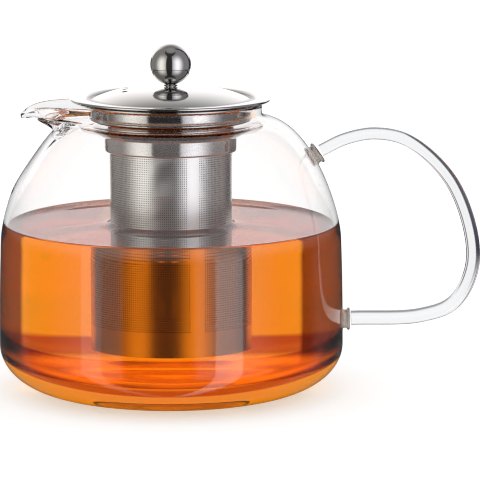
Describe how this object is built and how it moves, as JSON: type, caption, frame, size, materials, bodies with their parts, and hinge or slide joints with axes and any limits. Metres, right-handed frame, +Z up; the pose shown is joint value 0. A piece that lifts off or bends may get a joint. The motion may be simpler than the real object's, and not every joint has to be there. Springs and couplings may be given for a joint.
{
  "type": "glass teapot",
  "caption": "Glass teapot with a drawn spout and rod handle, a lift-out steel infuser basket and a domed steel lid with a ball knob.",
  "frame": {"origin": "on the glass body's axis, on the face that it stands on", "axes": "+Z up along the body's axis, +X towards the handle, -X towards the spout"},
  "size_m": [0.2098, 0.15, 0.1516],
  "materials": {
    "clear_glass": "clear, fire polished",
    "polished_steel": "mirror polished stainless steel",
    "satin_steel": "satin stainless steel sheet",
    "tea": "clear amber tea, visual model only"
  },
  "bodies": {
    "pot": {"glass_body": "clear_glass", "glass_handle": "clear_glass", "handle_upper_joint": "clear_glass", "handle_lower_joint": "clear_glass"},
    "infuser": {"infuser_collar": "polished_steel", "basket_wall": "satin_steel", "basket_base": "satin_steel"},
    "lid": {"lid_plate": "polished_steel", "lid_skirt": "satin_steel", "knob_upper_half": "polished_steel", "knob_lower_half": "polished_steel", "knob_neck": "polished_steel", "knob_insert": "satin_steel", "knob_washer": "satin_steel", "knob_screw": "satin_steel"}
  },
  "joints": [
    {"name": "infuser_lift", "type": "slide", "parent": "pot", "child": "infuser", "axis": [0, 0, 1], "range_m": [0, 0.13]},
    {"name": "lid_lift", "type": "slide", "parent": "infuser", "child": "lid", "axis": [0, 0, 1], "range_m": [0, 0.08]}
  ]
}
